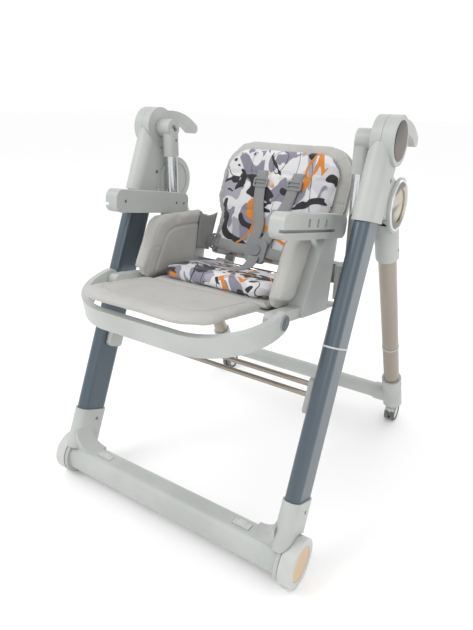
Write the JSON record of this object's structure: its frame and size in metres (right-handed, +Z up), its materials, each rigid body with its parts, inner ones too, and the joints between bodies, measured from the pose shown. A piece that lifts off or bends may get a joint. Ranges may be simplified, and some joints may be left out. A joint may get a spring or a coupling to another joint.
{
  "type": "baby high chair",
  "caption": "Folding baby high chair: padded reclining seat hung from swing tubes between A-frame legs, footrest loop, harness, front wheels and rear casters.",
  "frame": {"origin": "on the floor, under the middle of the chair's bounding box", "axes": "+Z up, -Y towards the front of the chair, where the footrest is, and +X to the sitting child's left"},
  "size_m": [0.6, 0.7496, 0.79],
  "materials": {
    "grey_plastic": "satin moulded",
    "light_plastic": "satin moulded",
    "dark_plastic": "satin moulded",
    "leg_paint": "metallic satin",
    "taupe_paint": "metallic satin",
    "chrome": "polished",
    "bronze_trim": "mirror, bronze tint",
    "screw_steel": "brushed",
    "tan_disc": "satin",
    "leatherette": "stitched, fine grain",
    "printed_fabric": "printed cover",
    "webbing": "woven",
    "buckle_plastic": "satin moulded",
    "wheel_rubber": "matt"
  },
  "bodies": {
    "front_frame": {"base_bar": "grey_plastic", "front_leg_l": "leg_paint", "front_leg_r": "leg_paint", "hub_housing_l": "grey_plastic", "hub_housing_r": "grey_plastic", "hub_caps": "bronze_trim", "leg_rings": "light_plastic", "leg_brackets": "grey_plastic", "cross_rods": "taupe_paint", "bar_clips": "light_plastic", "axle_pins": "chrome", "base_screws": "screw_steel"},
    "rear_frame": {"rear_sleeve_l": "grey_plastic", "rear_sleeve_r": "grey_plastic", "rear_legs": "taupe_paint", "rear_rings": "light_plastic", "rear_bar": "grey_plastic", "rear_corners": "grey_plastic", "pivot_caps": "bronze_trim", "rear_screws": "screw_steel"},
    "wheel_l": {"front_wheel_l": "light_plastic", "wheel_disc_l": "tan_disc"},
    "caster_l": {"caster_fork_l": "light_plastic"},
    "caster_axle_l": {"caster_wheels_l": "wheel_rubber"},
    "brake_l": {"brake_lever_l": "light_plastic"},
    "release_l": {"release_handle_l": "grey_plastic"},
    "wheel_r": {"front_wheel_r": "light_plastic", "wheel_disc_r": "tan_disc"},
    "caster_r": {"caster_fork_r": "light_plastic"},
    "caster_axle_r": {"caster_wheels_r": "wheel_rubber"},
    "brake_r": {"brake_lever_r": "light_plastic"},
    "release_r": {"release_handle_r": "grey_plastic"},
    "swing": {"swing_arm_l": "grey_plastic", "swing_arm_r": "grey_plastic", "swing_tubes": "chrome", "tube_feet": "grey_plastic", "swing_screws": "screw_steel"},
    "seat": {"seat_shell": "grey_plastic", "carriages": "grey_plastic", "armrest_l": "grey_plastic", "armrest_r": "grey_plastic", "armrest_screws": "screw_steel", "seat_pad": "leatherette", "wing_l": "leatherette", "wing_r": "leatherette", "seat_cushion": "printed_fabric", "waist_straps": "webbing", "buckle": "buckle_plastic", "recline_pivot": "chrome"},
    "buckle_press": {"buckle_button": "dark_plastic"},
    "backrest": {"back_shell": "grey_plastic", "back_pad": "leatherette", "back_cushion": "printed_fabric", "shoulder_straps": "webbing", "strap_sliders": "buckle_plastic"},
    "calf_rest": {"calf_panel": "leatherette"},
    "footrest": {"footrest_ring": "grey_plastic"},
    "footrest_press_l": {"footrest_button_l": "chrome"},
    "footrest_press_r": {"footrest_button_r": "chrome"}
  },
  "joints": [
    {"name": "rear_fold", "type": "hinge", "parent": "front_frame", "child": "rear_frame", "pos_m": [0, 0.05956, 0.63], "axis": [-1, 0, 0], "range_deg": [0, 42]},
    {"name": "seat_swing", "type": "hinge", "parent": "front_frame", "child": "swing", "pos_m": [0, 0.023, 0.747], "axis": [1, 0, 0], "range_deg": [-10, 10]},
    {"name": "seat_height", "type": "slide", "parent": "swing", "child": "seat", "axis": [0, 0, 1], "range_m": [0, 0.12]},
    {"name": "back_recline", "type": "hinge", "parent": "seat", "child": "backrest", "pos_m": [0, 0.04195, 0.45371], "axis": [-1, 0, 0], "range_deg": [0, 35]},
    {"name": "footrest_tilt", "type": "hinge", "parent": "seat", "child": "footrest", "pos_m": [0, -0.21456, 0.46746], "axis": [1, 0, 0], "range_deg": [0, 48]},
    {"name": "calf_tilt", "type": "hinge", "parent": "seat", "child": "calf_rest", "pos_m": [0, -0.17036, 0.46474], "axis": [1, 0, 0], "range_deg": [0, 38.4]},
    {"name": "buckle_release", "type": "slide", "parent": "seat", "child": "buckle_press", "axis": [0, 0.9085, -0.4179], "range_m": [0, 0.0025], "stiffness_N_per_m": 400, "springref_m": -0.002},
    {"name": "wheel_spin_l", "type": "hinge", "parent": "front_frame", "child": "wheel_l", "pos_m": [0, -0.282, 0.046], "axis": [1, 0, 0], "continuous": true},
    {"name": "caster_swivel_l", "type": "hinge", "parent": "rear_frame", "child": "caster_l", "pos_m": [-0.266, 0.322, 0.054], "axis": [0, 0, 1], "continuous": true},
    {"name": "caster_spin_l", "type": "hinge", "parent": "caster_l", "child": "caster_axle_l", "pos_m": [-0.266, 0.338, 0.023], "axis": [1, 0, 0], "continuous": true},
    {"name": "brake_l", "type": "hinge", "parent": "caster_l", "child": "brake_l", "pos_m": [-0.266, 0.338, 0.023], "axis": [-1, 0, 0], "range_deg": [0, 12]},
    {"name": "fold_release_l", "type": "hinge", "parent": "front_frame", "child": "release_l", "pos_m": [-0.262, 0.023, 0.747], "axis": [1, 0, 0], "range_deg": [0, 18], "stiffness_Nm_per_rad": 2, "springref_deg": -14.32},
    {"name": "footrest_press_l", "type": "slide", "parent": "footrest", "child": "footrest_press_l", "axis": [1, 0, 0], "range_m": [0, 0.0025], "stiffness_N_per_m": 400, "springref_m": -0.002},
    {"name": "wheel_spin_r", "type": "hinge", "parent": "front_frame", "child": "wheel_r", "pos_m": [0, -0.282, 0.046], "axis": [1, 0, 0], "continuous": true},
    {"name": "caster_swivel_r", "type": "hinge", "parent": "rear_frame", "child": "caster_r", "pos_m": [0.266, 0.322, 0.054], "axis": [0, 0, 1], "continuous": true},
    {"name": "caster_spin_r", "type": "hinge", "parent": "caster_r", "child": "caster_axle_r", "pos_m": [0.266, 0.338, 0.023], "axis": [1, 0, 0], "continuous": true},
    {"name": "brake_r", "type": "hinge", "parent": "caster_r", "child": "brake_r", "pos_m": [0.266, 0.338, 0.023], "axis": [-1, 0, 0], "range_deg": [0, 12]},
    {"name": "fold_release_r", "type": "hinge", "parent": "front_frame", "child": "release_r", "pos_m": [0.262, 0.023, 0.747], "axis": [1, 0, 0], "range_deg": [0, 18], "stiffness_Nm_per_rad": 2, "springref_deg": -14.32},
    {"name": "footrest_press_r", "type": "slide", "parent": "footrest", "child": "footrest_press_r", "axis": [-1, 0, 0], "range_m": [0, 0.0025], "stiffness_N_per_m": 400, "springref_m": -0.002}
  ],
  "couplings": [
    {"joint": "calf_tilt", "follows": "footrest_tilt", "ratio": 0.8}
  ]
}
